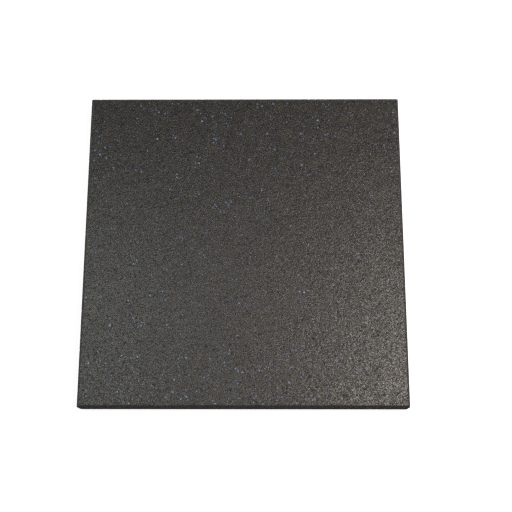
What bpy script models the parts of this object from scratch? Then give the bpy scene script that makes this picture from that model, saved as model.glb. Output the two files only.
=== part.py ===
"""A square floor tile pressed from rubber crumb, with a bevelled top rim.

The tile lies flat on its underside, as it is laid on a floor. Units are metres and +Z is up. The
origin is the centre of the underside, and the tile's four sides are square to X and Y.
"""

import math

import bmesh
import bpy

# Driving dimensions
TILE_SIDE = 0.500
TILE_THICKNESS = 0.030
TOP_BEVEL = 0.0035  # the 45 degree bevel round the top face, across and down
CORNER_RADIUS = 0.002  # the upright corners, seen from above
SHARPEST_RADIUS = 0.0005  # the least that a corner keeps where the bevel cuts into it
UNDERSIDE_ROUND = 0.001  # the rim of the underside, where the crumb leaves the mould
CORNER_STEPS = 6
ROUND_STEPS = 2
SHARP_ANGLE = math.radians(30)

# The black crumb as it looks from a distance, lit by the room
RUBBER_COLOUR = (0.040, 0.039, 0.037, 1.0)
RUBBER_ROUGHNESS = 0.85


def clear_scene():
    for old in list(bpy.data.objects):
        bpy.data.objects.remove(old, do_unlink=True)


def rubber_material():
    material = bpy.data.materials.new("black_crumb_rubber")
    material.use_nodes = True
    surface = material.node_tree.nodes["Principled BSDF"]
    surface.inputs["Base Color"].default_value = RUBBER_COLOUR
    surface.inputs["Roughness"].default_value = RUBBER_ROUGHNESS
    surface.inputs["Metallic"].default_value = 0.0
    return material


def outline_at(inset):
    """The tile from above, this far in from its side: a square whose four corners are arcs."""
    radius = max(CORNER_RADIUS - inset, SHARPEST_RADIUS)
    reach = TILE_SIDE / 2 - inset - radius
    outline = []
    for corner in range(4):
        middle = math.radians(45 + 90 * corner)
        centre_x = math.copysign(reach, math.cos(middle))
        centre_y = math.copysign(reach, math.sin(middle))
        for step in range(CORNER_STEPS + 1):
            angle = math.radians(90) * (corner + step / CORNER_STEPS)
            outline.append((centre_x + radius * math.cos(angle), centre_y + radius * math.sin(angle)))
    return outline


def section():
    """The rim's profile from the underside up: how far in from the side, and how high."""
    profile = []
    for step in range(ROUND_STEPS + 1):
        angle = math.radians(90) * step / ROUND_STEPS
        profile.append((UNDERSIDE_ROUND * (1 - math.sin(angle)), UNDERSIDE_ROUND * (1 - math.cos(angle))))
    profile.append((0.0, TILE_THICKNESS - TOP_BEVEL))
    profile.append((TOP_BEVEL, TILE_THICKNESS))
    return profile


def slab_mesh():
    """Rings of points, one for each corner of the profile, joined by walls and closed by two faces."""
    shape = bmesh.new()
    rings = [[shape.verts.new((x, y, height)) for x, y in outline_at(inset)] for inset, height in section()]
    for lower, upper in zip(rings, rings[1:]):
        for here in range(len(lower)):
            following = (here + 1) % len(lower)
            shape.faces.new((lower[here], lower[following], upper[following], upper[here]))
    shape.faces.new(reversed(rings[0]))
    shape.faces.new(rings[-1])

    mesh = bpy.data.meshes.new("rubber_tile")
    shape.to_mesh(mesh)
    shape.free()
    mesh.shade_smooth()
    mesh.set_sharp_from_angle(angle=SHARP_ANGLE)
    return mesh


def build_tile():
    mesh = slab_mesh()
    mesh.materials.append(rubber_material())
    tile = bpy.data.objects.new("rubber_tile", mesh)
    bpy.context.scene.collection.objects.link(tile)
    return tile


def main():
    clear_scene()
    build_tile()


main()
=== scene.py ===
# %% [markdown]
# # A floor tile pressed from rubber crumb
#
# The real tile is made of shredded tyre rubber. Black granules, one to five millimetres across, are
# stirred with a little binder and a few blue granules, poured into a square steel mould and pressed.
# The result is one slab. Its skin is a bed of angular granules squeezed almost level, with small dark
# pits between them, and here and there a blue one.
#
# The slab itself, 500 by 500 by 30 millimetres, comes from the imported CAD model. This file dresses it:
# a camera and a studio first, then the finishes, then the granular skin, and last the larger granules
# that are set in it.

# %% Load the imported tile
import math

import bmesh
import bpy
import numpy as np
from mathutils import Matrix, Vector


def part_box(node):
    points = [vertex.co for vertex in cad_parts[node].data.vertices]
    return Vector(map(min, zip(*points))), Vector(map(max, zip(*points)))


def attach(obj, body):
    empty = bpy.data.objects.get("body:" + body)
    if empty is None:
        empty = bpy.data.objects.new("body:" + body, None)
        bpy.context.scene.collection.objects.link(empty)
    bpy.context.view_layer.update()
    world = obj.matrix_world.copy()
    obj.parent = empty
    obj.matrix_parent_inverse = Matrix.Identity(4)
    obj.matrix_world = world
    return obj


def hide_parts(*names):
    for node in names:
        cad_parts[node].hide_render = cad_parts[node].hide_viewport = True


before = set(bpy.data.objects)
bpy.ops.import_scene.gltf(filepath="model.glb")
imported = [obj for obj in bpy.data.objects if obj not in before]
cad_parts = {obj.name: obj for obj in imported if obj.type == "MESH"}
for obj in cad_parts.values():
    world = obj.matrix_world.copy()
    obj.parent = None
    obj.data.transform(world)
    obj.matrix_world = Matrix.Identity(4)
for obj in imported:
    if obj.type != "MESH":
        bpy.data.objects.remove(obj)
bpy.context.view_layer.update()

low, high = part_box("rubber_tile")
HALF_SIDE = high.x
THICKNESS = high.z
MM = 0.001

print("the slab measures", [round(side / MM) for side in high - low], "mm")

# %% [markdown]
# ## The camera
#
# A flat square says a lot about the lens that saw it: how much the far side shrinks gives the
# distance, and how far the square is squashed gives the height. The numbers below were fitted to the
# four corners of the tile and to the thin dark band of its front side. The camera stands in front of
# the tile, almost above it, and leans a little to one side.
#
# A camera could be aimed with a Track To constraint. Writing its three axes as a matrix is clearer
# here, because the lean and the small slides across the picture are then one line each.

# %% Camera
PICTURE_SIDE = 512  # pixels, both ways
FOCAL_PIXELS = 917.0  # the focal length, in pixels of the picture
SENSOR_WIDTH = 36.0  # millimetres, Blender's usual film
CAMERA_AZIMUTH = math.radians(1.72)
CAMERA_ELEVATION = math.radians(75.35)
CAMERA_LEAN = math.radians(-1.68)
CAMERA_DISTANCE = 1.462  # metres, as are the two slides
CAMERA_SLIDE_RIGHT = 0.0186
CAMERA_SLIDE_UP = -0.0078


def camera_axes(azimuth, elevation, lean):
    """The camera's right, up and backward directions, as it looks at the tile's origin."""
    back = Vector((
        math.sin(azimuth) * math.cos(elevation),
        -math.cos(azimuth) * math.cos(elevation),
        math.sin(elevation),
    ))
    level_right = Vector((math.cos(azimuth), math.sin(azimuth), 0.0))
    level_up = back.cross(level_right)
    right = level_right * math.cos(lean) + level_up * math.sin(lean)
    up = level_up * math.cos(lean) - level_right * math.sin(lean)
    return right, up, back


def add_object(name, data):
    """An object made from its data and put into the scene."""
    made = bpy.data.objects.new(name, data)
    bpy.context.scene.collection.objects.link(made)
    return made


def make_camera():
    right, up, back = camera_axes(CAMERA_AZIMUTH, CAMERA_ELEVATION, CAMERA_LEAN)
    place = back * CAMERA_DISTANCE + right * CAMERA_SLIDE_RIGHT + up * CAMERA_SLIDE_UP
    data = bpy.data.cameras.new("camera")
    data.sensor_width = SENSOR_WIDTH
    data.lens = FOCAL_PIXELS / PICTURE_SIDE * SENSOR_WIDTH
    data.dof.use_dof = False
    camera = add_object("camera", data)
    camera.matrix_world = Matrix.Translation(place) @ Matrix((right, up, back)).transposed().to_4x4()
    bpy.context.scene.camera = camera
    return camera


camera = make_camera()
print(f"camera: {camera.data.lens:.1f} mm lens, {camera.matrix_world.translation.z:.2f} m above the floor")

# %% [markdown]
# ## Helpers for shader nodes
#
# Every material below is a tree of nodes made in code. One helper adds a node and fills in its
# settings and its sockets, and the others are short names for the nodes used most: sums on numbers and
# vectors, a change of range, a mix of two colours, and noise. The last ones start a node group with
# named inputs and outputs. A group is the shader's version of a function: it is drawn once and placed
# wherever that effect is wanted.

# %% Nodes and links
def add_node(tree, kind, settings=None, **sockets):
    """A new node. Settings are its own properties; sockets are values or links, by socket name."""
    node = tree.nodes.new(kind)
    for name, value in (settings or {}).items():
        setattr(node, name, value)
    for name, value in sockets.items():
        connect(tree, node.inputs[name.replace("_", " ")], value)
    return node


def connect(tree, socket, value):
    """Puts a plain value in a socket, or links another node's output to it."""
    if isinstance(value, bpy.types.NodeSocket):
        tree.links.new(value, socket)
    else:
        socket.default_value = value


print("nodes can be added and linked")

# %% Sums, ranges, colours and noise
def combine(tree, operation, first, second=0.0, third=0.0, clamp=False):
    """One Math node on up to three numbers."""
    node = add_node(tree, "ShaderNodeMath", {"operation": operation, "use_clamp": clamp})
    for socket, value in zip(node.inputs, (first, second, third)):
        connect(tree, socket, value)
    return node.outputs[0]


def rescale(tree, value, old_low, old_high, new_low, new_high, smooth=False):
    """Map Range: a number is moved from one range to another and kept inside it."""
    curve = "SMOOTHSTEP" if smooth else "LINEAR"
    node = add_node(tree, "ShaderNodeMapRange", {"interpolation_type": curve})
    for socket, number in zip(node.inputs, (value, old_low, old_high, new_low, new_high)):
        connect(tree, socket, number)
    return node.outputs[0]


def mix_colours(tree, share, first, second):
    """A Mix node on two colours. The share is how much of the second one shows."""
    node = add_node(tree, "ShaderNodeMix", {"data_type": "RGBA"}, Factor=share)
    colours = [socket for socket in node.inputs if socket.type == "RGBA"]
    connect(tree, colours[0], first)
    connect(tree, colours[1], second)
    return [socket for socket in node.outputs if socket.type == "RGBA"][0]


def combine_vectors(tree, operation, first, second):
    """One Vector Math node on two vectors, such as ADD, SUBTRACT or DOT_PRODUCT."""
    node = add_node(tree, "ShaderNodeVectorMath", {"operation": operation})
    connect(tree, node.inputs[0], first)
    connect(tree, node.inputs[1], second)
    return node.outputs["Value" if operation == "DOT_PRODUCT" else "Vector"]


def noise(tree, size, octaves, roughness=0.5):
    """Noise in the object's own space. Its lumps have this size in metres."""
    place = add_node(tree, "ShaderNodeTexCoord").outputs["Object"]
    per_metre = combine(tree, "DIVIDE", 1.0, size)
    return add_node(
        tree, "ShaderNodeTexNoise", Vector=place, Scale=per_metre, Detail=octaves, Roughness=roughness,
    )


print("short names are ready for the nodes used most")

# %% Groups and materials
def new_group(name, inputs, outputs):
    """An empty node group. Inputs are (name, kind, default) and outputs are (name, kind)."""
    group = bpy.data.node_groups.new(name, "ShaderNodeTree")
    for label, kind, default in inputs:
        socket = group.interface.new_socket(label, in_out="INPUT", socket_type=kind)
        socket.default_value = default
    for label, kind in outputs:
        group.interface.new_socket(label, in_out="OUTPUT", socket_type=kind)
    return group, group.nodes.new("NodeGroupInput"), group.nodes.new("NodeGroupOutput")


def place_group(tree, group, **sockets):
    return add_node(tree, "ShaderNodeGroup", {"node_tree": group}, **sockets)


def new_material(name):
    """A material with a Principled BSDF alone, and its node tree."""
    material = bpy.data.materials.new(name)
    material.use_nodes = True
    return material, material.node_tree, material.node_tree.nodes["Principled BSDF"]


NUMBER = "NodeSocketFloat"
COLOUR = "NodeSocketColor"
print("groups can have sockets of kind", NUMBER, "and", COLOUR)

# %% [markdown]
# ## The studio
#
# Black rubber sends back little of its own colour, so what a camera sees on it is mostly the soft
# mirror image of whatever is bright around it. In the photograph the far side is darkest, the near
# right corner has a warm sheen, and the near left corner a weaker, neutral one. That is the mark of
# two softboxes high on the right and on the left. An area light is Blender's softbox.
#
# The tile lies on white paper that curves up beyond it and beside it, and brightens its bevels. Above
# the paper, and behind the camera, the room is dark. A curved sheet could be modelled, but it would
# throw shadows and show in other views, so it is a gradient in the world instead. The floor is a
# plane, lit a little from within like a light table, so that it turns white in the picture and still
# takes the soft shadow that seats the tile on it. The Light Path node lets the camera see floor and
# paper brighter than the rubber does.

# %% The room
ROOM_COLOUR = (0.97, 0.98, 1.0, 1.0)
CEILING_STRENGTH = 0.0
SWEEP_STRENGTH = 0.72
SWEEP_TOP = 0.40  # upward part of the direction in which the paper ends
SWEEP_FRONT = -0.7  # backward part of the direction in which nothing is lit any more
BACKDROP_STRENGTH = 1.0


def make_world():
    world = bpy.data.worlds.new("studio_room")
    world.use_nodes = True
    tree = world.node_tree
    room = tree.nodes["Background"]
    room.inputs["Color"].default_value = ROOM_COLOUR
    direction = add_node(tree, "ShaderNodeTexCoord").outputs["Generated"]
    part = add_node(tree, "ShaderNodeSeparateXYZ", Vector=direction)
    around = rescale(
        tree, part.outputs["Z"], 0.0, SWEEP_TOP, SWEEP_STRENGTH, CEILING_STRENGTH, smooth=True,
    )
    behind = rescale(tree, part.outputs["Y"], SWEEP_FRONT, 0.0, 0.0, 1.0, smooth=True)
    around = combine(tree, "MULTIPLY", around, behind)
    seen = add_node(tree, "ShaderNodeLightPath").outputs["Is Camera Ray"]
    connect(tree, room.inputs["Strength"], rescale(tree, seen, 0.0, 1.0, around, BACKDROP_STRENGTH))
    bpy.context.scene.world = world
    return world


print("the room:", make_world().name)

# %% The floor
FLOOR_SIDE = 14.0
FLOOR_DROP = 0.2 * MM  # just under the tile, so that no two faces share a plane
PAPER_COLOUR = (0.50, 0.50, 0.50, 1.0)
PAPER_SPECKLE = (0.47, 0.47, 0.47, 1.0)
PAPER_GRAIN = 25 * MM
PAPER_ROUGHNESS = 0.9
PAPER_SHINE = 0.1
WHITE = (1.0, 1.0, 1.0, 1.0)
FLOOR_GLOW = 0.86  # as the camera sees it
FLOOR_FILL = 0.12  # as the tile sees it


def make_floor():
    shape = bmesh.new()
    bmesh.ops.create_grid(shape, x_segments=1, y_segments=1, size=FLOOR_SIDE / 2)
    mesh = bpy.data.meshes.new("studio_floor")
    shape.to_mesh(mesh)
    shape.free()
    material, tree, surface = new_material("pale_studio_paper")
    speckle = noise(tree, PAPER_GRAIN, octaves=3.0).outputs["Fac"]
    connect(tree, surface.inputs["Base Color"], mix_colours(tree, speckle, PAPER_COLOUR, PAPER_SPECKLE))
    surface.inputs["Roughness"].default_value = PAPER_ROUGHNESS
    surface.inputs["Specular IOR Level"].default_value = PAPER_SHINE
    surface.inputs["Emission Color"].default_value = WHITE
    seen = add_node(tree, "ShaderNodeLightPath").outputs["Is Camera Ray"]
    glow = rescale(tree, seen, 0.0, 1.0, FLOOR_FILL, FLOOR_GLOW)
    connect(tree, surface.inputs["Emission Strength"], glow)
    mesh.materials.append(material)
    floor = add_object("studio_floor", mesh)
    floor.location.z = -FLOOR_DROP
    return floor


floor = make_floor()
print(f"{floor.name}: {FLOOR_SIDE:.0f} m square, {FLOOR_DROP / MM:.1f} mm under the tile")

# %% Softboxes
BOX_SIZE = 0.6
TILE_MIDDLE = (0.0, 0.0, THICKNESS)


def softbox(name, place, power, colour):
    """A square area light of so many watts, turned to face the middle of the tile."""
    data = bpy.data.lights.new(name, "AREA")
    data.shape = "SQUARE"
    data.size = BOX_SIZE
    data.energy = power
    data.color = colour
    light = add_object(name, data)
    light.location = place
    light.rotation_euler = (Vector(TILE_MIDDLE) - Vector(place)).to_track_quat("-Z", "Y").to_euler()
    light.visible_camera = False
    return light


softbox("right_softbox", place=(1.1, 0.0, 2.2), power=44.2, colour=(1.0, 0.905, 0.825))
softbox("left_softbox", place=(-0.62, 0.13, 1.5), power=6.3, colour=(0.95, 1.0, 0.965))
print("two softboxes are up")

# %% [markdown]
# ### Keeping the grain in the picture
#
# Cycles can clean a noisy picture with a denoiser, which suits smooth things. Here the subject is
# itself a fine random grain, near the size of a pixel, and a denoiser takes it for noise and wipes it
# away. So it is off, and the pixel filter is narrowed, as a sharp lens would do.

# %% Picture settings
PIXEL_FILTER = 1.3  # pixels; Blender's own value is 1.5


def keep_the_grain():
    scene = bpy.context.scene
    scene.view_settings.view_transform = "Standard"
    scene.view_settings.look = "None"
    scene.cycles.use_denoising = False
    scene.cycles.filter_width = PIXEL_FILTER


keep_the_grain()
print("denoiser off, pixel filter", PIXEL_FILTER)

# %% [markdown]
# ## Shared effects
#
# Five effects make up the look of this rubber. Each is a node group, because it is needed more than
# once: the grains in two sizes on the bed, and the other four on the bed and on the single granules.
#
# ** Grains.** Below about two millimetres the granules are too many to model, so a Voronoi texture
# stands for them: each of its cells is one grain with a tone of its own, and the lines between the
# cells are the crevices, which the black rubber paints dark as painted shade. The texture is read in
# the object's own space, in metres, so it needs no UV map and runs on round the bevel and down the sides.
#
# **Grit.** Shredded rubber is torn, not cut, and its skin is rough like fine sandpaper. That is noise.
#
# **Polish.** The press squeezes the top against smooth steel and leaves a faint sheen there. Pits never
# touched the steel, and the sides only slid along it, so both stay matt.
#
# **Scuffs.** Every tile is dragged and stacked on its edges, and the bevel wears from black to grey.
#
# **Dust.** Bluish powder and brownish earth lie in patches on whatever faces up. The mask is the
# upward part of the surface normal, broken up by noise.

# %% Group: crumb grains
RAGGEDNESS = 0.45  # of the grain size: how far noise pushes a grain's outline about
AVERAGE = (0.5, 0.5, 0.5)  # of the random colours that the cells draw
FULL_LEAN = 2.0  # a colour is at most half away from the average, and a lean goes up to one


def make_crumb_grains():
    """Each Voronoi cell is one grain. Lengths go in and the height comes out in metres."""
    group, given, result = new_group(
        "crumb_grains",
        [
            ("Grain Size", NUMBER, 1.6 * MM),
            ("Crevice Width", NUMBER, 0.12 * MM),
            ("Crevice Depth", NUMBER, 0.15 * MM),
            ("Facet Tilt", NUMBER, 0.1),
        ],
        [("Tone", NUMBER), ("Wear", NUMBER), ("Crevice", NUMBER), ("Height", NUMBER)],
    )
    size = given.outputs["Grain Size"]
    place = add_node(group, "ShaderNodeTexCoord").outputs["Object"]
    per_metre = combine(group, "DIVIDE", 1.0, size)
    ragged = noise(group, size, octaves=2.0).outputs["Color"]
    push = add_node(group, "ShaderNodeVectorMath", {"operation": "SCALE"}, Vector=ragged)
    connect(group, push.inputs["Scale"], combine(group, "MULTIPLY", size, RAGGEDNESS))
    torn = combine_vectors(group, "ADD", place, push.outputs["Vector"])

    cells = add_node(group, "ShaderNodeTexVoronoi", Vector=torn, Scale=per_metre)
    edges = add_node(
        group, "ShaderNodeTexVoronoi", {"feature": "DISTANCE_TO_EDGE"}, Vector=torn, Scale=per_metre,
    )
    chance = add_node(group, "ShaderNodeSeparateColor", Color=cells.outputs["Color"])
    width = combine(group, "DIVIDE", given.outputs["Crevice Width"], size)
    crevice = rescale(group, edges.outputs["Distance"], 0.0, width, 1.0, 0.0, smooth=True)

    from_middle = combine_vectors(group, "SUBTRACT", torn, cells.outputs["Position"])
    lean = combine_vectors(group, "SUBTRACT", cells.outputs["Color"], AVERAGE)
    steepness = combine(group, "MULTIPLY", given.outputs["Facet Tilt"], FULL_LEAN)
    rise = combine(group, "MULTIPLY", combine_vectors(group, "DOT_PRODUCT", from_middle, lean), steepness)
    flat = combine(group, "SUBTRACT", 1.0, crevice)
    sunk = combine(group, "MULTIPLY", crevice, given.outputs["Crevice Depth"])
    height = combine(group, "SUBTRACT", combine(group, "MULTIPLY", rise, flat), sunk)
    connect(group, result.inputs["Tone"], chance.outputs["Red"])
    connect(group, result.inputs["Wear"], chance.outputs["Green"])
    connect(group, result.inputs["Crevice"], crevice)
    connect(group, result.inputs["Height"], height)
    return group


crumb_grains = make_crumb_grains()
print("made group", crumb_grains.name)

# %% Group: torn grit
NOISE_LOW, NOISE_HIGH = 0.3, 0.7  # noise seldom leaves this range


def make_torn_grit():
    group, given, result = new_group(
        "torn_grit",
        [("Grit Size", NUMBER, 0.5 * MM)],
        [("Grit", NUMBER)],
    )
    rough = noise(group, given.outputs["Grit Size"], octaves=3.0, roughness=0.6).outputs["Fac"]
    connect(group, result.inputs["Grit"], rescale(group, rough, NOISE_LOW, NOISE_HIGH, 0.0, 1.0))
    return group


torn_grit = make_torn_grit()
print("made group", torn_grit.name)

# %% Group: mould polish
MOST_GLOSS = 0.33  # roughness of a fresh grain
LEAST_GLOSS = 0.43  # of a worn one
MATT = 0.95
STEEP, GENTLE = 0.2, 0.6  # upward part of the normal: matt below the first, polished above the second


def how_far_up(tree):
    """The upward part of the surface normal: 1 on a level face, 0 on an upright one."""
    normal = add_node(tree, "ShaderNodeNewGeometry").outputs["Normal"]
    return add_node(tree, "ShaderNodeSeparateXYZ", Vector=normal).outputs["Z"]


def make_mould_polish():
    group, given, result = new_group(
        "mould_polish",
        [("Wear", NUMBER, 0.5), ("Shade", NUMBER, 0.0)],
        [("Roughness", NUMBER)],
    )
    polished = rescale(group, given.outputs["Wear"], 0.0, 1.0, MOST_GLOSS, LEAST_GLOSS)
    upright = rescale(group, how_far_up(group), STEEP, GENTLE, 1.0, 0.0, smooth=True)
    untouched = combine(group, "MAXIMUM", given.outputs["Shade"], upright)
    connect(group, result.inputs["Roughness"], rescale(group, untouched, 0.0, 1.0, polished, MATT))
    return group


mould_polish = make_mould_polish()
print("made group", mould_polish.name)

# %% Group: scuffed edges
SIDE_TO_BEVEL = (0.40, 0.60)  # upward part of the normal where the mask sets in
BEVEL_TO_TOP = (0.80, 0.92)  # and where it fades out
RUBBED_LOW, RUBBED_HIGH = 0.35, 0.65  # of the noise: from least rubbed to bare
LEAST_RUBBED = 0.2  # no stretch of an edge escapes


def make_scuffed_edges():
    """The bevel is the only face that tilts about halfway up, so that is the mask."""
    group, given, result = new_group(
        "scuffed_edges",
        [
            ("Surface Color", COLOUR, (0.02, 0.02, 0.02, 1.0)),
            ("Scuff Color", COLOUR, (0.08, 0.08, 0.08, 1.0)),
            ("Amount", NUMBER, 0.5),
            ("Scuff Size", NUMBER, 4 * MM),
        ],
        [("Color", COLOUR)],
    )
    rubbed = noise(group, given.outputs["Scuff Size"], octaves=4.0).outputs["Fac"]
    rubbed = rescale(group, rubbed, RUBBED_LOW, RUBBED_HIGH, LEAST_RUBBED, 1.0)
    upward = how_far_up(group)
    bevel = combine(
        group, "MULTIPLY",
        rescale(group, upward, *SIDE_TO_BEVEL, 0.0, 1.0, smooth=True),
        rescale(group, upward, *BEVEL_TO_TOP, 1.0, 0.0, smooth=True),
    )
    share = combine(group, "MULTIPLY", combine(group, "MULTIPLY", bevel, rubbed), given.outputs["Amount"])
    shown = mix_colours(group, share, given.outputs["Surface Color"], given.outputs["Scuff Color"])
    connect(group, result.inputs["Color"], shown)
    return group


scuffed_edges = make_scuffed_edges()
print("made group", scuffed_edges.name)

# %% Group: settled dust
LYING = (0.35, 0.95)  # upward part of the normal: no dust below the first, all of it above the second
KIND_SIZE = 0.5  # of a patch
KIND_LOW, KIND_HIGH = 0.38, 0.62  # narrower than the noise, so that most dust is one kind or the other


def make_settled_dust():
    """Patches of powder and of earth, and within the patches more in some places than in others."""
    group, given, result = new_group(
        "settled_dust",
        [
            ("Surface Color", COLOUR, (0.02, 0.02, 0.02, 1.0)),
            ("Powder Color", COLOUR, (0.2, 0.19, 0.18, 1.0)),
            ("Earth Color", COLOUR, (0.2, 0.15, 0.1, 1.0)),
            ("Amount", NUMBER, 0.2),
            ("Patch Size", NUMBER, 20 * MM),
        ],
        [("Color", COLOUR)],
    )
    lying = rescale(group, how_far_up(group), *LYING, 0.0, 1.0, smooth=True)
    patch = given.outputs["Patch Size"]
    uneven = noise(group, patch, octaves=6.0, roughness=0.65).outputs["Fac"]
    uneven = rescale(group, uneven, NOISE_LOW, NOISE_HIGH, 0.0, 1.0)
    kind = noise(group, combine(group, "MULTIPLY", patch, KIND_SIZE), octaves=2.0).outputs["Fac"]
    kind = rescale(group, kind, KIND_LOW, KIND_HIGH, 0.0, 1.0)
    dust = combine(group, "MULTIPLY", combine(group, "MULTIPLY", lying, uneven), given.outputs["Amount"])
    colour = mix_colours(group, kind, given.outputs["Powder Color"], given.outputs["Earth Color"])
    shown = mix_colours(group, dust, given.outputs["Surface Color"], colour)
    connect(group, result.inputs["Color"], shown)
    return group


settled_dust = make_settled_dust()
print("made group", settled_dust.name)

# %% [markdown]
# ## Black crumb rubber
#
# Tyre rubber is black from its carbon, and no two granules are quite the same: tread, sidewall and
# worn skin give tones from soot to dark grey, some matt and some with a slight polish. Two sizes of
# grain are laid over each other. Their crevices and the pits of the modelled skin, which reach the
# shader as a named attribute of the mesh, are mixed towards soot. That is painted shade, where light
# hardly reaches.

# %% Black crumb material
SOOT = (0.003, 0.003, 0.003, 1.0)
WORN_GREY = (0.035, 0.034, 0.0325, 1.0)
SCUFF_GREY = (0.075, 0.073, 0.070, 1.0)
POWDER = (0.070, 0.090, 0.125, 1.0)
EARTH = (0.145, 0.105, 0.060, 1.0)
FINE_GRAINS = {
    "Grain_Size": 1.6 * MM, "Crevice_Width": 0.09 * MM, "Crevice_Depth": 0.02 * MM, "Facet_Tilt": 0.10,
}
COARSE_GRAINS = {
    "Grain_Size": 3.0 * MM, "Crevice_Width": 0.14 * MM, "Crevice_Depth": 0.03 * MM, "Facet_Tilt": 0.02,
}
COARSE_TONE = 0.75  # share of the coarse grains in the tone
COARSE_WEAR = 0.2  # and in the wear
CRUMB_DARKNESS = 2.2  # a higher power makes pale grains rarer
BLACK_DUST = 0.11
GRIT_SIZE = 0.45 * MM
GRIT_DEPTH = 0.004 * MM
DUST_PATCH = 30 * MM
SCUFF_SIZE = 4 * MM
SCUFF_AMOUNT = 0.4
SHINE = 0.8  # specular level, where 0.5 is Blender's own
PIT_ATTRIBUTE = "pit_depth"


def weather(tree, rubber, dust_amount):
    """Scuffs and dust, laid over a rubber colour."""
    scuffed = place_group(
        tree, scuffed_edges, Surface_Color=rubber, Scuff_Color=SCUFF_GREY, Amount=SCUFF_AMOUNT,
        Scuff_Size=SCUFF_SIZE,
    )
    dusty = place_group(
        tree, settled_dust, Surface_Color=scuffed.outputs["Color"], Powder_Color=POWDER, Earth_Color=EARTH,
        Amount=dust_amount, Patch_Size=DUST_PATCH,
    )
    return dusty.outputs["Color"]


def of_both(tree, fine, coarse, output, coarse_share):
    """One output of the two layers of grains, added up in this share."""
    part = combine(tree, "MULTIPLY", fine.outputs[output], 1.0 - coarse_share)
    return combine(tree, "MULTIPLY_ADD", coarse.outputs[output], coarse_share, part)


def make_black_crumb():
    material, tree, surface = new_material("black_crumb_rubber")
    fine = place_group(tree, crumb_grains, **FINE_GRAINS)
    coarse = place_group(tree, crumb_grains, **COARSE_GRAINS)
    grit = place_group(tree, torn_grit, Grit_Size=GRIT_SIZE)
    pit = add_node(tree, "ShaderNodeAttribute", {"attribute_name": PIT_ATTRIBUTE}).outputs["Fac"]

    tone = of_both(tree, fine, coarse, "Tone", COARSE_TONE)
    rubber = mix_colours(tree, combine(tree, "POWER", tone, CRUMB_DARKNESS), SOOT, WORN_GREY)
    crevices = combine(tree, "MAXIMUM", fine.outputs["Crevice"], coarse.outputs["Crevice"])
    # Painted shade: the crevices and the pits are mixed towards soot, where light hardly reaches into
    # them.
    shade = combine(tree, "MAXIMUM", crevices, pit, clamp=True)
    rubber = mix_colours(tree, shade, rubber, SOOT)
    connect(tree, surface.inputs["Base Color"], weather(tree, rubber, BLACK_DUST))

    wear = of_both(tree, fine, coarse, "Wear", COARSE_WEAR)
    polish = place_group(tree, mould_polish, Wear=wear, Shade=shade)
    connect(tree, surface.inputs["Roughness"], polish.outputs["Roughness"])
    surface.inputs["Specular IOR Level"].default_value = SHINE

    height = combine(tree, "ADD", fine.outputs["Height"], coarse.outputs["Height"])
    height = combine(tree, "MULTIPLY_ADD", grit.outputs["Grit"], GRIT_DEPTH, height)
    bump = add_node(tree, "ShaderNodeBump", Strength=1.0, Distance=1.0, Height=height)
    connect(tree, surface.inputs["Normal"], bump.outputs["Normal"])
    return material


black_crumb = make_black_crumb()
print("made material", black_crumb.name)

# %% [markdown]
# ## Single granules, black and blue
#
# The larger granules are modelled one by one, so their finish is simpler than the bed's: each has one
# tone of its own, which comes from the mesh as a named attribute. A granule's tone could be read from
# a Voronoi texture instead, but then a cell's border would run across a granule. The blue is rubber
# dyed right through, so it has no paint edge or chips, only the same torn grit, scuffs and dust.

# %% Granule materials
TONE_ATTRIBUTE = "granule_tone"
LEAST_WEAR = 0.5  # standing proud of the bed, they are all a little worn
GRANULE_DARKNESS = 1.7  # a power, as for the crumb
GRIT_SHADE = 0.3  # how much the grit darkens
BLUE_DUST = 0.08
DEEP_BLUE = (0.022, 0.072, 0.190, 1.0)
PALE_BLUE = (0.190, 0.340, 0.500, 1.0)


def make_granule_rubber(name, dark, light, dust_amount):
    """Rubber of one tone to a granule, between a dark and a light colour."""
    material, tree, surface = new_material(name)
    tone = add_node(tree, "ShaderNodeAttribute", {"attribute_name": TONE_ATTRIBUTE}).outputs["Fac"]
    grit = place_group(tree, torn_grit, Grit_Size=GRIT_SIZE)
    rubber = mix_colours(tree, combine(tree, "POWER", tone, GRANULE_DARKNESS), dark, light)
    rubber = mix_colours(tree, combine(tree, "MULTIPLY", grit.outputs["Grit"], GRIT_SHADE), rubber, dark)
    connect(tree, surface.inputs["Base Color"], weather(tree, rubber, dust_amount))
    wear = rescale(tree, tone, 0.0, 1.0, LEAST_WEAR, 1.0)
    polish = place_group(tree, mould_polish, Wear=wear)
    connect(tree, surface.inputs["Roughness"], polish.outputs["Roughness"])
    surface.inputs["Specular IOR Level"].default_value = SHINE
    bump = add_node(
        tree, "ShaderNodeBump", Strength=1.0, Distance=GRIT_DEPTH, Height=grit.outputs["Grit"],
    )
    connect(tree, surface.inputs["Normal"], bump.outputs["Normal"])
    return material


black_granule = make_granule_rubber("black_granule_rubber", SOOT, WORN_GREY, BLACK_DUST)
blue_granule = make_granule_rubber("blue_granule_rubber", DEEP_BLUE, PALE_BLUE, BLUE_DUST)
print("made materials", black_granule.name, "and", blue_granule.name)

# %% [markdown]
# ## The pressed skin
#
# A skin of granules could be a flat slab with a bump map, or a displaced plane. Bump shades well but
# leaves a perfectly clean outline, and a displaced plane has no sides. So the whole tile is one closed
# mesh, written out row by row. The top is a fine grid. Its border is a ring of points, and that ring is
# carried down in rows: over the bevel, down the side and round the bottom rim. The underside lies on
# the floor, so it is a coarse grid with one larger polygon wherever it meets the fine ring.
#
# Blender's grids are square, and the tile's corners are round. Each corner square of the grid is
# squeezed into a quarter disc, by moving its points towards the corner's centre.

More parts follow.
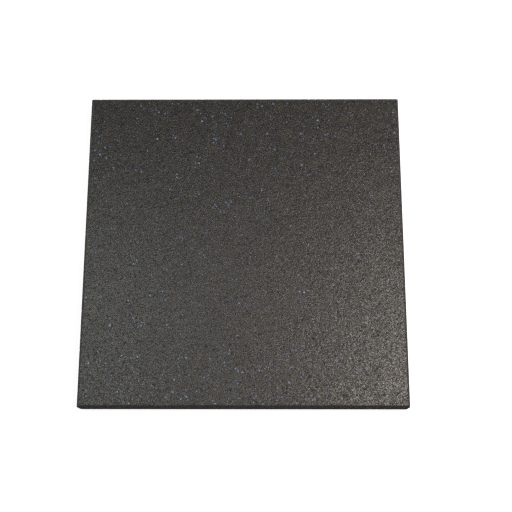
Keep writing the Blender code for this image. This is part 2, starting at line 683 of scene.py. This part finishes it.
# %% Shape of the rim
TOP_BEVEL = 3.5 * MM
CORNER_RADIUS = 2.0 * MM
SHARPEST_RADIUS = 0.5 * MM
UNDERSIDE_ROUND = 1.0 * MM
CELLS = 276  # grid cells along a side
CELL = 2 * HALF_SIDE / CELLS
AROUND = 4 * CELLS  # cells once round the rim
CORNER_CELLS = 3  # of a side's cells, those that make half the arc of one corner
BEVEL_ROWS = 2
SIDE_ROWS = 14
DIAGONAL = math.radians(45)
TINY = 1e-9  # keeps a length of zero from dividing


def rim_rows():
    """Each row down the rim: how far in from the side, how high, and how far its normal tilts up."""
    rows = []
    for step in range(BEVEL_ROWS + 1):
        down = TOP_BEVEL * step / BEVEL_ROWS
        rows.append((TOP_BEVEL - down, THICKNESS - down, DIAGONAL))
    side_height = THICKNESS - TOP_BEVEL - UNDERSIDE_ROUND
    for step in range(1, SIDE_ROWS + 1):
        rows.append((0.0, THICKNESS - TOP_BEVEL - side_height * step / SIDE_ROWS, 0.0))
    rows.append((UNDERSIDE_ROUND, 0.0, -DIAGONAL))
    return rows


def corner_radius(inset):
    return max(CORNER_RADIUS - inset, SHARPEST_RADIUS)


def grid_lines(half):
    """Places of the grid lines across a square: even, and closer together at its corners."""
    reach = half - CORNER_RADIUS
    inner = np.linspace(-reach, reach, CELLS + 1 - 2 * CORNER_CELLS)
    corner = np.linspace(reach, half, CORNER_CELLS + 1)[1:]
    return np.concatenate((-corner[::-1], inner, corner))


def round_corners(x, y, half, radius):
    """Points of a square, moved so that its corners become arcs of this radius."""
    reach = half - radius
    over_x = np.abs(x) - reach
    over_y = np.abs(y) - reach
    in_corner = (over_x > 0) & (over_y > 0)
    longest = np.maximum(over_x, over_y)
    distance = np.where(in_corner, np.hypot(over_x, over_y), 1.0)
    squeeze = np.where(in_corner, longest / distance, 1.0)
    new_x = np.where(in_corner, np.sign(x) * (reach + over_x * squeeze), x)
    new_y = np.where(in_corner, np.sign(y) * (reach + over_y * squeeze), y)
    return new_x, new_y


def outward(x, y, half, radius):
    """The level direction that points straight out of the side at each point of the rim."""
    reach = half - radius
    from_x = x - np.clip(x, -reach, reach)
    from_y = y - np.clip(y, -reach, reach)
    length = np.maximum(np.hypot(from_x, from_y), TINY)
    return from_x / length, from_y / length


rows = rim_rows()
print(f"rim: {len(rows)} rows of {AROUND} points, {CELL / MM:.2f} mm apart")

# %% [markdown]
# ### How deep each point lies
#
# The press squeezes the granules level, so most of the skin is near the mould's face and only the
# gaps between granules are deep. A point's depth is the sum of three random parts. Granules three or
# four millimetres wide are cells of a jittered lattice, each pressed to a level of its own and tilted
# a little. Each point also has a small depth of its own. And about one point in thirty is a pit, where
# no granule filled the gap.

# %% Relief of the pressed granules
SEED = 20
GRANULE_PITCH = 3.6 * MM
GRANULE_STEP = 0.06 * MM  # between the highest and the lowest pressed granule
GRANULE_TILT = 0.015  # rise over run
POINT_DEPTH = 0.05 * MM
PIT_SHARE = 0.03  # of the points
PIT_DEPTH = 0.50 * MM
SHALLOWEST_PIT = 0.3  # of that depth
LATTICE = 1024  # cells of the lattice before it repeats
SKIN_DEPTH = 0.10 * MM  # the bed lies this far under the mould's face, and set granules reach it
DEEPEST = SKIN_DEPTH + GRANULE_STEP + PIT_DEPTH

chance = np.random.default_rng(SEED)


def granule_depth(across, along):
    """Depth of the pressed granule at each point, from a new jittered lattice of granule centres."""
    shift = chance.random((LATTICE, LATTICE, 2))
    level = chance.random((LATTICE, LATTICE))
    tilt = chance.uniform(-GRANULE_TILT, GRANULE_TILT, (LATTICE, LATTICE, 2))
    u, v = across / GRANULE_PITCH, along / GRANULE_PITCH
    cell_u, cell_v = np.floor(u).astype(int), np.floor(v).astype(int)
    nearest = np.full(u.shape, np.inf)
    depth = np.zeros(u.shape)
    for step_u in (-1, 0, 1):
        for step_v in (-1, 0, 1):
            i, j = (cell_u + step_u) % LATTICE, (cell_v + step_v) % LATTICE
            off_u = u - (cell_u + step_u + shift[i, j, 0])
            off_v = v - (cell_v + step_v + shift[i, j, 1])
            distance = np.hypot(off_u, off_v)
            slope = (off_u * tilt[i, j, 0] + off_v * tilt[i, j, 1]) * GRANULE_PITCH
            closer = distance < nearest
            nearest = np.where(closer, distance, nearest)
            depth = np.where(closer, level[i, j] * GRANULE_STEP + slope, depth)
    return depth


def skin_depth(across, along):
    """How far under the mould's face each point of the skin lies."""
    own = chance.random(across.shape) * POINT_DEPTH
    is_pit = chance.random(across.shape) < PIT_SHARE
    pits = is_pit * chance.uniform(SHALLOWEST_PIT, 1.0, across.shape) * PIT_DEPTH
    return np.clip(SKIN_DEPTH + granule_depth(across, along) + own + pits, 0.0, DEEPEST)


print(f"relief: the skin lies {SKIN_DEPTH / MM:.2f} to {DEEPEST / MM:.2f} mm under the mould's face")

# %% Points of the top face
JITTER = 0.32  # of a grid cell
TOP_HALF = HALF_SIDE - TOP_BEVEL


def top_points():
    """The grid of the top face, its inner points moved about and all of them sunk by the relief."""
    lines = grid_lines(TOP_HALF)
    free = JITTER * np.gradient(lines)
    free[[0, -1]] = 0.0
    wander = chance.uniform(-1.0, 1.0, (2, CELLS + 1, CELLS + 1))
    x, y = np.meshgrid(lines, lines)
    inside = np.outer(free > 0, free > 0)
    x = x + wander[0] * free[None, :] * inside
    y = y + wander[1] * free[:, None] * inside
    x, y = round_corners(x, y, TOP_HALF, corner_radius(TOP_BEVEL))
    depth = skin_depth(x + HALF_SIDE, y + HALF_SIDE)
    points = np.stack((x, y, THICKNESS - depth), axis=-1)
    return points.reshape(-1, 3), depth.ravel()


def border_ring():
    """The grid places (column, row) of the border, counter-clockwise from the near left corner."""
    walk = np.arange(CELLS)
    still = np.zeros(CELLS, int)
    columns = np.concatenate((walk, still + CELLS, CELLS - walk, still))
    lines = np.concatenate((still, walk, still + CELLS, CELLS - walk))
    return columns, lines


top, top_depth = top_points()
ring_columns, ring_lines = border_ring()
print(f"top face: {len(top):,} points")

# %% Points of the rim
RIM_START = 1.0  # metres: where a row of the rim starts on its lattice


def rim_row(row, run):
    """One row of the bevel or the side: its points, and how deep the relief sinks them."""
    inset, height, tilt = rows[row]
    half = HALF_SIDE - inset
    lines = grid_lines(half)
    slide = JITTER * np.gradient(lines) * chance.uniform(-1.0, 1.0, (4, CELLS + 1))
    slide[:, [0, -1]] = 0.0
    x, y = lines[ring_columns], lines[ring_lines]
    side = np.arange(AROUND) // CELLS
    x = x + np.where(side % 2 == 0, slide[side, ring_columns], 0.0)
    y = y + np.where(side % 2 == 1, slide[side, ring_lines], 0.0)
    x, y = round_corners(x, y, half, corner_radius(inset))
    out_x, out_y = outward(x, y, half, corner_radius(inset))
    lift = np.zeros(AROUND)
    if tilt == 0.0 and rows[row + 1][2] == 0.0:
        lift = chance.uniform(-JITTER, JITTER, AROUND) * CELL
    depth = np.zeros(AROUND)
    if row < len(rows) - 1:
        depth = skin_depth(np.arange(AROUND) * CELL, np.full(AROUND, run + RIM_START))
    inward = depth * math.cos(tilt)
    z = height + lift - depth * math.sin(tilt)
    return np.stack((x - out_x * inward, y - out_y * inward, z), axis=-1), depth


def rim_points():
    """The rows of the bevel, the side and the bottom rim, below the top's own border."""
    points, depths = [], []
    run = 0.0
    for row in range(1, len(rows)):
        run += math.hypot(rows[row - 1][0] - rows[row][0], rows[row - 1][1] - rows[row][1])
        row_points, depth = rim_row(row, run)
        points.append(row_points)
        depths.append(depth)
    return np.concatenate(points), np.concatenate(depths)


rim, rim_depth = rim_points()
print(f"rim: {len(rim):,} points")

# %% Points of the underside
COARSE = 6  # fine cells to one cell of the underside
COARSE_CELLS = CELLS // COARSE


def underside_points():
    """The inner points of the underside's coarse grid. Its border is the rim's last row."""
    half = HALF_SIDE - UNDERSIDE_ROUND
    steps = (np.arange(1, COARSE_CELLS) * 2 / COARSE_CELLS - 1) * half
    x, y = np.meshgrid(steps, steps)
    return np.stack((x, y, np.zeros(x.shape)), axis=-1).reshape(-1, 3)


underside = underside_points()
print(f"underside: {len(underside):,} inner points")

# %% [markdown]
# ### Joining the points with faces, and a map for them
#
# Faces are lists of point numbers, counter-clockwise as seen from outside. Each face also gets its
# corners' places on a flat map. The top takes most of the map, because it is what people look at, the
# four sides are strips beside it at the same scale, and the underside is a small square in the corner.

# %% Faces and map of the tile
TOP_SHARE = 0.84  # of the map's side
MAP_GAP = 0.006
STRIP = 0.062  # width of one side's strip on the map
MAP_NAME = "OFBake"  # the name of the UV map of the tile and of the granules


def top_faces():
    lines, columns = np.mgrid[0:CELLS, 0:CELLS]
    first = (lines * (CELLS + 1) + columns).ravel()
    quads = np.stack((first, first + 1, first + CELLS + 2, first + CELLS + 1), axis=-1)
    places = np.stack((quads % (CELLS + 1), quads // (CELLS + 1)), axis=-1) / CELLS
    return quads, MAP_GAP + places * TOP_SHARE


def row_numbers(row):
    """Point numbers of one row of the rim. Row 0 is the border of the top face."""
    if row == 0:
        return ring_lines * (CELLS + 1) + ring_columns
    return len(top) + (row - 1) * AROUND + np.arange(AROUND)


def strip_place(side, along, down):
    """Place on the map for a share along one side and down its rim."""
    start = TOP_SHARE + 2 * MAP_GAP + (side % 2) * (STRIP + MAP_GAP)
    run = MAP_GAP + along * TOP_SHARE
    across = start + down * STRIP
    if side < 2:
        return np.stack((run, across), axis=-1)
    return np.stack((across, run), axis=-1)


def rim_faces():
    quads, places = [], []
    last = len(rows) - 1
    for row in range(last):
        upper, lower = row_numbers(row), row_numbers(row + 1)
        quads.append(np.stack((lower, np.roll(lower, -1), np.roll(upper, -1), upper), axis=-1))
        share = np.arange(AROUND) % CELLS / CELLS
        next_share = share + 1 / CELLS
        above, below = np.full(AROUND, row / last), np.full(AROUND, (row + 1) / last)
        for side in range(4):
            part = slice(side * CELLS, (side + 1) * CELLS)
            corners = (
                strip_place(side, share[part], below[part]),
                strip_place(side, next_share[part], below[part]),
                strip_place(side, next_share[part], above[part]),
                strip_place(side, share[part], above[part]),
            )
            places.append(np.stack(corners, axis=1))
    return np.concatenate(quads), np.concatenate(places)


top_quads, top_map = top_faces()
rim_quads, rim_map = rim_faces()
print(f"faces: {len(top_quads):,} on the top, {len(rim_quads):,} on the rim")

# %% Faces of the underside
def ring_walk(start, stop):
    """Point numbers of the rim's last row from one place on the ring to another, either way round."""
    numbers = row_numbers(len(rows) - 1)
    forward = (stop - start) % AROUND
    if forward <= COARSE:
        return [int(numbers[(start + step) % AROUND]) for step in range(forward)]
    return [int(numbers[(start - step) % AROUND]) for step in range((start - stop) % AROUND)]


def ring_place(column, line):
    """Where a border point of the coarse grid lies on the ring, or None inside the grid."""
    if line == 0:
        return column * COARSE
    if column == COARSE_CELLS:
        return (COARSE_CELLS + line) * COARSE
    if line == COARSE_CELLS:
        return (3 * COARSE_CELLS - column) * COARSE
    if column == 0:
        return (4 * COARSE_CELLS - line) * COARSE
    return None


def underside_faces():
    first = len(top) + len(rim)
    faces = []
    for line in range(COARSE_CELLS):
        for column in range(COARSE_CELLS):
            corners = [(column, line), (column, line + 1), (column + 1, line + 1), (column + 1, line)]
            face = []
            for corner, following in zip(corners, corners[1:] + corners[:1]):
                place, next_place = ring_place(*corner), ring_place(*following)
                outer = (
                    corner[0] == following[0] in (0, COARSE_CELLS)
                    or corner[1] == following[1] in (0, COARSE_CELLS)
                )
                if outer:
                    face += ring_walk(place, next_place)
                elif place is not None:
                    face.append(int(row_numbers(len(rows) - 1)[place % AROUND]))
                else:
                    face.append(first + (corner[1] - 1) * (COARSE_CELLS - 1) + corner[0] - 1)
            faces.append(face)
    return faces


under_faces = underside_faces()
print(f"faces: {len(under_faces):,} on the underside")

# %% The tile as one closed mesh
def fill_map(mesh, known, points):
    """Writes the UV map: known corners first, then the underside from its points' places."""
    layer = mesh.uv_layers.new(name=MAP_NAME)
    flat = np.empty((len(mesh.loops), 2))
    flat[:len(known)] = known
    numbers = np.empty(len(mesh.loops), int)
    mesh.loops.foreach_get("vertex_index", numbers)
    start = TOP_SHARE + 3 * MAP_GAP
    room = 1.0 - start - MAP_GAP
    flat[len(known):] = start + (points[numbers[len(known):], :2] / (2 * HALF_SIDE) + 0.5) * room
    layer.uv.foreach_set("vector", flat.ravel())


def make_tile():
    points = np.concatenate((top, rim, underside))
    faces = [*top_quads.tolist(), *rim_quads.tolist(), *under_faces]
    mesh = bpy.data.meshes.new("crumb_slab")
    mesh.from_pydata(points.tolist(), [], faces)
    fill_map(mesh, np.concatenate((top_map.reshape(-1, 2), rim_map.reshape(-1, 2))), points)
    pit = mesh.attributes.new(PIT_ATTRIBUTE, "FLOAT", "POINT")
    depth = np.concatenate((top_depth, rim_depth, np.zeros(len(underside))))
    pressed = SKIN_DEPTH + GRANULE_STEP + POINT_DEPTH
    share = np.clip((depth - pressed) / (DEEPEST - pressed), 0.0, 1.0)
    pit.data.foreach_set("value", share.astype(np.float32))
    mesh.materials.append(black_crumb)
    mesh.validate()
    tile = add_object("crumb_slab", mesh)
    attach(tile, "root")
    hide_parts("rubber_tile")
    return tile


tile = make_tile()
tile.data.calc_loop_triangles()
print(f"tile: {len(tile.data.loop_triangles):,} triangles")

# %% [markdown]
# ## The granules set in the skin
#
# The mould's steel face leaves the larger granules with flat, level tops that stand a hair above the
# bed between them. They catch the light one by one, and some of them are the blue ones. Each is a lump
# with sharp corners: an icosahedron whose points are pushed in and out, turned any way, and then
# pressed, by bringing down whatever reaches past the mould's face.
#
# Geometry Nodes could scatter copies of a few lumps. Here numpy makes every lump different at once, and
# each colour becomes one joined mesh, which is lighter than thousands of objects.

# %% Lumps
LUMP_FLATNESS = 0.6
LUMP_SINK = 0.10  # of the size: how far the middle lies under the mould's face
CORNER_REACH = (0.75, 1.05)  # of the lump's radius: how far out its corners may be
NARROWEST = 0.75
SHALLOWEST = 0.02 * MM  # under the mould's face
DEEPEST_TOP = 0.09 * MM
TOP_TILT = 0.02  # rise over run


def icosahedron():
    shape = bmesh.new()
    bmesh.ops.create_icosphere(shape, subdivisions=1, radius=1.0)
    corners = np.array([tuple(point.co) for point in shape.verts])
    faces = np.array([[point.index for point in face.verts] for face in shape.faces])
    shape.free()
    return corners, faces


LUMP_CORNERS, LUMP_FACES = icosahedron()


def any_turn(count):
    """Rotation matrices that turn a thing any way, from random quaternions."""
    turns = chance.normal(size=(4, count))
    w, x, y, z = turns / np.linalg.norm(turns, axis=0)
    return np.array([
        [1 - 2 * (y * y + z * z), 2 * (x * y - w * z), 2 * (x * z + w * y)],
        [2 * (x * y + w * z), 1 - 2 * (x * x + z * z), 2 * (y * z - w * x)],
        [2 * (x * z - w * y), 2 * (y * z + w * x), 1 - 2 * (x * x + y * y)],
    ]).transpose(2, 0, 1)


def torn_lumps(sizes):
    """The corners of one lump for each size, around its own middle."""
    count = len(sizes)
    radii = chance.uniform(*CORNER_REACH, (count, len(LUMP_CORNERS), 1))
    corners = np.einsum("nij,nkj->nki", any_turn(count), LUMP_CORNERS * radii)
    half = sizes / 2
    shape = np.stack((half, half * chance.uniform(NARROWEST, 1.0, count), half * LUMP_FLATNESS), axis=-1)
    corners *= shape[:, None, :]
    angle = chance.uniform(0.0, 2 * math.pi, (count, 1))
    x = corners[..., 0] * np.cos(angle) - corners[..., 1] * np.sin(angle)
    y = corners[..., 0] * np.sin(angle) + corners[..., 1] * np.cos(angle)
    return np.stack((x, y, corners[..., 2]), axis=-1)


def press(corners, sizes):
    """Sinks the lumps and brings down whatever reaches past the mould's face, which is at height zero."""
    count = len(sizes)
    tilt = chance.uniform(-TOP_TILT, TOP_TILT, (2, count, 1))
    sunk = chance.uniform(SHALLOWEST, DEEPEST_TOP, (count, 1))
    x, y, z = corners[..., 0], corners[..., 1], corners[..., 2] - LUMP_SINK * sizes[:, None]
    ceiling = np.minimum(x * tilt[0] + y * tilt[1] - sunk, -SHALLOWEST)
    return np.stack((x, y, np.minimum(z, ceiling)), axis=-1)


print(f"a lump has {len(LUMP_CORNERS)} corners and {len(LUMP_FACES)} faces")

# %% [markdown]
# ### Scattering them
#
# Granules pressed side by side never overlap. A Poisson scatter in Geometry Nodes would keep one least
# distance between all of them, but these differ in size. So they are thrown at random, the largest
# first, and one that would land on another is thrown again, with twelve throws at most. Those that lie
# are filed by squares of the face, and a new one is measured only against its own square and the eight
# around it.

# %% Scattering without touching
SMALLEST = 1.3 * MM  # across
LARGEST = 5.2 * MM
SMALL_TO_LARGE = 2.0  # a higher power makes large granules rarer
LUMP_GAP = 0.05 * MM
TRIES = 12


def granule_sizes(count, largest):
    return SMALLEST + (largest - SMALLEST) * chance.random(count) ** SMALL_TO_LARGE


def scatter(sizes, half_width, half_height):
    """Throws granules at a rectangle, largest first, and keeps each that lands clear of the others."""
    squares = {}
    kept = []
    for size in sorted(sizes, reverse=True):
        for _ in range(TRIES):
            x = chance.uniform(size / 2 - half_width, half_width - size / 2)
            y = chance.uniform(size / 2 - half_height, half_height - size / 2)
            column, line = int(x // LARGEST), int(y // LARGEST)
            near = [
                granule
                for i in (column - 1, column, column + 1)
                for j in (line - 1, line, line + 1)
                for granule in squares.get((i, j), ())
            ]
            if all(math.hypot(x - a, y - b) > (size + width) / 2 + LUMP_GAP for a, b, width in near):
                squares.setdefault((column, line), []).append((x, y, size))
                kept.append((x, y, size))
                break
    return np.array(kept)


print(f"set granules measure {SMALLEST / MM:.1f} to {LARGEST / MM:.1f} mm")

# %% Where granules lie
TOP_COUNT = 6800
SIDE_COUNT = 330
BEVEL_COUNT = 70
BEVEL_LARGEST = 3.6 * MM
QUARTER_TURN = math.radians(90)


def mould_faces():
    """Each visible face: its middle, its axes right, up and out, its half size, and how to fill it."""
    faces = [(Vector((0.0, 0.0, THICKNESS)), Matrix.Identity(3), TOP_HALF, TOP_HALF, TOP_COUNT, LARGEST)]
    upright = Matrix.Rotation(QUARTER_TURN, 3, "X")
    slanted = Matrix.Rotation(DIAGONAL, 3, "X")
    side_half = (THICKNESS - TOP_BEVEL - UNDERSIDE_ROUND) / 2
    side_middle = Vector((0.0, -HALF_SIDE, UNDERSIDE_ROUND + side_half))
    bevel_middle = Vector((0.0, TOP_BEVEL / 2 - HALF_SIDE, THICKNESS - TOP_BEVEL / 2))
    side_size = (HALF_SIDE - CORNER_RADIUS, side_half)
    bevel_size = (TOP_HALF, TOP_BEVEL / math.sqrt(2))
    for quarter in range(4):
        turn = Matrix.Rotation(QUARTER_TURN * quarter, 3, "Z")
        faces.append((turn @ side_middle, turn @ upright, *side_size, SIDE_COUNT, LARGEST))
        faces.append((turn @ bevel_middle, turn @ slanted, *bevel_size, BEVEL_COUNT, BEVEL_LARGEST))
    return faces


print(f"granules lie on {len(mould_faces())} faces")

# %% [markdown]
# ### Where the blue ones are
#
# A mixer never spreads a few coloured granules evenly. They stay together in twos and threes, and in
# the photograph such groups are commoner along the near and the far border, and to the left. So the
# face is divided into small square patches, each patch draws a number, and the granules of those that
# draw a low one are blue. Picking single granules instead would give an even, lifeless sprinkle.

# %% Which granules are blue
PATCH = 10 * MM
BLUE_PATCHES = 0.14  # of all patches, before the next three change it
BLUE_AT_MIDDLE = 0.45
BLUE_AT_BORDER = 1.7  # added toward the near and the far border
BLUE_TO_LEFT = 0.35  # added toward the left, and taken away toward the right
BLUE_IN_PATCH = 0.9  # of a patch's granules
LEAST_BLUE = 1.7 * MM  # smaller ones are lost among the black
MOST_PATCHES = 64  # along a face, before they repeat
MAP_ROOM = 1.2  # of a granule's size: the side of its square on the map


def choose_blue(lying, half_width, half_height):
    """True for each granule that is blue."""
    patch = chance.random((MOST_PATCHES, MOST_PATCHES))[tuple((lying[:, :2].T // PATCH).astype(int))]
    to_border = (lying[:, 1] / half_height) ** 2
    crowd = BLUE_AT_MIDDLE + BLUE_AT_BORDER * to_border - BLUE_TO_LEFT * lying[:, 0] / half_width
    in_patch = patch < BLUE_PATCHES * crowd
    stirred_in = chance.random(len(lying)) < BLUE_IN_PATCH
    return in_patch & stirred_in & (lying[:, 2] > LEAST_BLUE)


def flat_places(corners, sizes):
    """A square of the map for each lump: faces that look up on its left half, the others on its right."""
    faces = corners[:, LUMP_FACES]
    edges = faces[:, :, 1:] - faces[:, :, :1]
    upward = np.cross(edges[:, :, 0], edges[:, :, 1])[..., 2] > 0
    places = faces[..., :2] / (MAP_ROOM * sizes[:, None, None, None]) + 0.5
    places[..., 0] = (places[..., 0] + np.where(upward, 0.0, 1.0)[..., None]) / 2
    return places


def all_granules():
    """For every granule: its corners, its square of the map, and whether it is blue."""
    corners, places, blue = [], [], []
    for middle, axes, half_width, half_height, count, largest in mould_faces():
        lying = scatter(granule_sizes(count, largest), half_width, half_height)
        sizes = lying[:, 2]
        local = press(torn_lumps(sizes), sizes)
        places.append(flat_places(local, sizes))
        local[..., :2] += lying[:, None, :2]
        corners.append(local @ np.array(axes).T + np.array(middle))
        blue.append(choose_blue(lying, half_width, half_height))
    return np.concatenate(corners), np.concatenate(places), np.concatenate(blue)


granule_corners, granule_places, granule_blue = all_granules()
print(f"granules: {np.sum(~granule_blue):,} black and {np.sum(granule_blue):,} blue")

# %% Granules as joined meshes
def make_granules(name, chosen, material):
    """One mesh from the chosen granules, with a tone for each and a map of small squares."""
    corners, places = granule_corners[chosen], granule_places[chosen]
    count, points = len(corners), len(LUMP_CORNERS)
    numbers = np.arange(count)
    faces = LUMP_FACES + numbers[:, None, None] * points
    mesh = bpy.data.meshes.new(name)
    mesh.from_pydata(corners.reshape(-1, 3).tolist(), [], faces.reshape(-1, 3).tolist())
    tone = mesh.attributes.new(TONE_ATTRIBUTE, "FLOAT", "POINT")
    tone.data.foreach_set("value", np.repeat(chance.random(count), points).astype(np.float32))
    across = math.ceil(math.sqrt(count))
    squares = np.stack((numbers % across, numbers // across), axis=-1)
    layer = mesh.uv_layers.new(name=MAP_NAME)
    layer.uv.foreach_set("vector", ((squares[:, None, None] + places) / across).ravel())
    mesh.materials.append(material)
    piece = add_object(name, mesh)
    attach(piece, "root")
    return piece


black_granules = make_granules("black_granules", ~granule_blue, black_granule)
blue_granules = make_granules("blue_granules", granule_blue, blue_granule)
for piece in (black_granules, blue_granules):
    print(f"{piece.name}: {len(piece.data.polygons):,} triangles")
